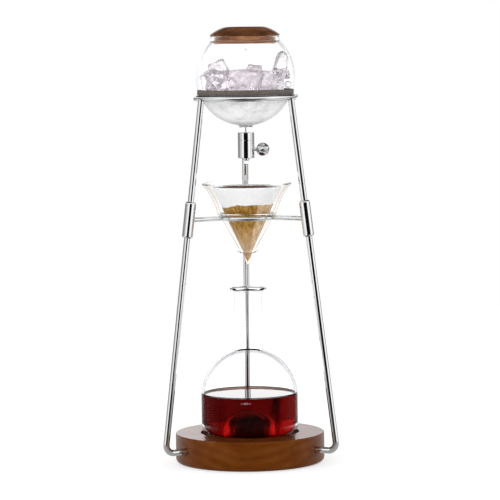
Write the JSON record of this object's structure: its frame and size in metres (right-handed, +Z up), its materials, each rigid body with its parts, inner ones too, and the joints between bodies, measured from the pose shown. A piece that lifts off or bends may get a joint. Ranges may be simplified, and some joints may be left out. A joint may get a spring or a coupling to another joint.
{
  "type": "cold drip coffee tower",
  "caption": "Cold drip coffee tower: lidded ice globe with a drip valve over a paper-lined glass dripper and a flask, held by a leaning wire frame on a round wooden base.",
  "frame": {"origin": "centre of the pad's underside, on the surface that the tower stands on", "axes": "+Z up, -Y the front, +X to the right, where the valve's knob points"},
  "size_m": [0.192, 0.1929, 0.4818],
  "materials": {
    "base_wood": "satin lacquered brown wood",
    "lid_wood": "satin lacquered brown wood",
    "chrome": "mirror polished",
    "screw_steel": "blackened",
    "bush_brass": "turned",
    "needle_steel": "turned",
    "pad_rubber": "matt",
    "cushion_silicone": "matt taupe",
    "seal_silicone": "satin grey",
    "gasket_silicone": "translucent",
    "globe_glass": "clear",
    "dripper_glass": "clear",
    "flask_glass": "clear",
    "crushed_ice": "frosted",
    "clear_ice": "wet",
    "filter_paper": "dry above, wet and brown below",
    "wet_coffee": "wet ground coffee",
    "brewed_coffee": "dark red brown, clear"
  },
  "bodies": {
    "frame": {"wooden_base": "base_wood", "base_pad": "pad_rubber", "leg_bushes": "bush_brass", "leg_set_screws": "screw_steel", "lower_leg_left": "chrome", "lower_leg_right": "chrome", "lower_leg_rear": "chrome", "sleeve_left": "chrome", "sleeve_right": "chrome", "sleeve_rear": "chrome", "upper_leg_left": "chrome", "upper_leg_right": "chrome", "upper_leg_rear": "chrome", "spoke_left": "chrome", "spoke_right": "chrome", "spoke_rear": "chrome", "globe_ring": "chrome", "dripper_ring": "chrome"},
    "globe": {"globe": "globe_glass", "globe_cushion": "cushion_silicone", "ice_water": "crushed_ice", "ice_cubes": "clear_ice", "neck_gasket": "gasket_silicone", "valve_collar": "chrome", "valve_body": "chrome", "drip_nozzle": "chrome"},
    "lid": {"lid": "lid_wood", "lid_seal": "seal_silicone"},
    "needle_seals": {"needle_seals": "gasket_silicone"},
    "knob": {"valve_needle": "needle_steel", "ball_knob": "chrome"},
    "dripper": {"dripper_cone": "dripper_glass", "filter_paper": "filter_paper", "coffee_bed": "wet_coffee"},
    "flask": {"flask": "flask_glass", "brewed_coffee": "brewed_coffee"}
  },
  "joints": [
    {"name": "globe_lift", "type": "slide", "parent": "frame", "child": "globe", "axis": [0, 0, 1], "range_m": [0, 0.09]},
    {"name": "lid_lift", "type": "slide", "parent": "globe", "child": "lid", "axis": [0, 0, 1], "range_m": [0, 0.06]},
    {"name": "needle_travel", "type": "slide", "parent": "globe", "child": "needle_seals", "axis": [1, 0, 0], "range_m": [0, 0.00125]},
    {"name": "knob_turn", "type": "hinge", "parent": "needle_seals", "child": "knob", "pos_m": [0, 0, 0.34656], "axis": [1, 0, 0], "range_deg": [0, 540]},
    {"name": "dripper_lift", "type": "slide", "parent": "frame", "child": "dripper", "axis": [0, 0, 1], "range_m": [0, 0.024]},
    {"name": "flask_lift", "type": "slide", "parent": "frame", "child": "flask", "axis": [0, 0, 1], "range_m": [0, 0.02]}
  ],
  "couplings": [
    {"joint": "needle_travel", "follows": "knob_turn", "m_per_rad": 0.00012732}
  ]
}
